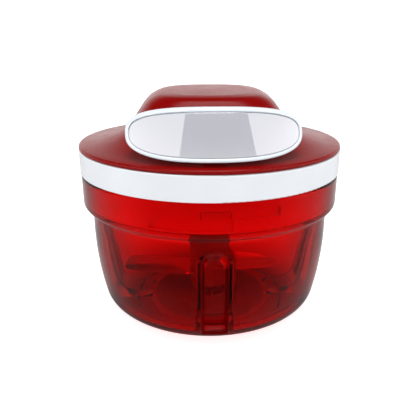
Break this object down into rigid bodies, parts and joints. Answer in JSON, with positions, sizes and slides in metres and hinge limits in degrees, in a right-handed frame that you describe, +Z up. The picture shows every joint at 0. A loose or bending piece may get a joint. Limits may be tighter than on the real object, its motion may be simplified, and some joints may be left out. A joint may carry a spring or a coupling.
{
  "type": "pull-cord food chopper",
  "caption": "Hand-pull food chopper: clear red bowl with steel blades under a bayonet lid that holds a cord spool, recoil spring and wide front pull handle.",
  "frame": {"origin": "centre of the foot's resting face, on the bowl's axis", "axes": "+Z up along the bowl, blade and spool axis; the pull handle faces -Y; +X to the right seen from the handle's side"},
  "size_m": [0.1272, 0.1272, 0.1114],
  "materials": {
    "clear_red": "clear tinted polycarbonate, polished",
    "red_cover": "fine-grained satin red",
    "white_gloss": "gloss white",
    "panel_gloss": "mirror-smooth white panel",
    "hub_plastic": "satin dark red plastic",
    "nylon": "natural nylon",
    "steel": "ground stainless steel",
    "spring_steel": "blued spring strip",
    "soft_grey": "soft silicone",
    "soft_clear": "translucent silicone",
    "cord": "braided polyester"
  },
  "bodies": {
    "bowl": {"bowl": "clear_red", "foot_pad": "soft_clear", "blade_pin": "steel", "thrust_washer": "nylon"},
    "blades": {"blade_hub": "hub_plastic", "lower_blade": "steel", "upper_blade": "steel"},
    "seal": {"lid_seal": "soft_clear"},
    "lid": {"lid_base": "white_gloss", "top_cover": "red_cover", "cover_screws": "steel", "cord_guide": "white_gloss", "spool_bush": "nylon", "shaft_seal": "soft_grey", "axle_pin": "steel", "spring_cup": "nylon", "cup_screws": "steel", "recoil_spring": "spring_steel", "cord_run": "cord"},
    "spool": {"spool": "nylon", "drive_dog": "nylon", "dog_screw": "steel", "spool_washer": "nylon", "cord_winding": "cord"},
    "handle": {"handle_shell": "white_gloss", "handle_panel": "panel_gloss", "handle_back": "white_gloss", "handle_screws": "steel", "cord_lead": "cord"}
  },
  "joints": [
    {"name": "lid_lift", "type": "slide", "parent": "bowl", "child": "seal", "axis": [0, 0, 1], "range_m": [0, 0.1]},
    {"name": "lid_turn", "type": "hinge", "parent": "seal", "child": "lid", "pos_m": [0, 0, 0.06], "axis": [0, 0, 1], "range_deg": [-20, 0]},
    {"name": "handle_pull", "type": "slide", "parent": "lid", "child": "handle", "axis": [0, -1, 0], "range_m": [0, 0.3], "stiffness_N_per_m": 12, "springref_m": -0.12},
    {"name": "spool_spin", "type": "hinge", "parent": "lid", "child": "spool", "pos_m": [0, 0, 0.095], "axis": [0, 0, 1], "range_deg": [0, 905.7]},
    {"name": "blade_spin", "type": "hinge", "parent": "bowl", "child": "blades", "pos_m": [0, 0, 0.03], "axis": [0, 0, 1], "range_deg": [0, 905.7]}
  ],
  "couplings": [
    {"joint": "spool_spin", "follows": "handle_pull", "rad_per_m": 52.632},
    {"joint": "blade_spin", "follows": "handle_pull", "rad_per_m": 52.632}
  ]
}
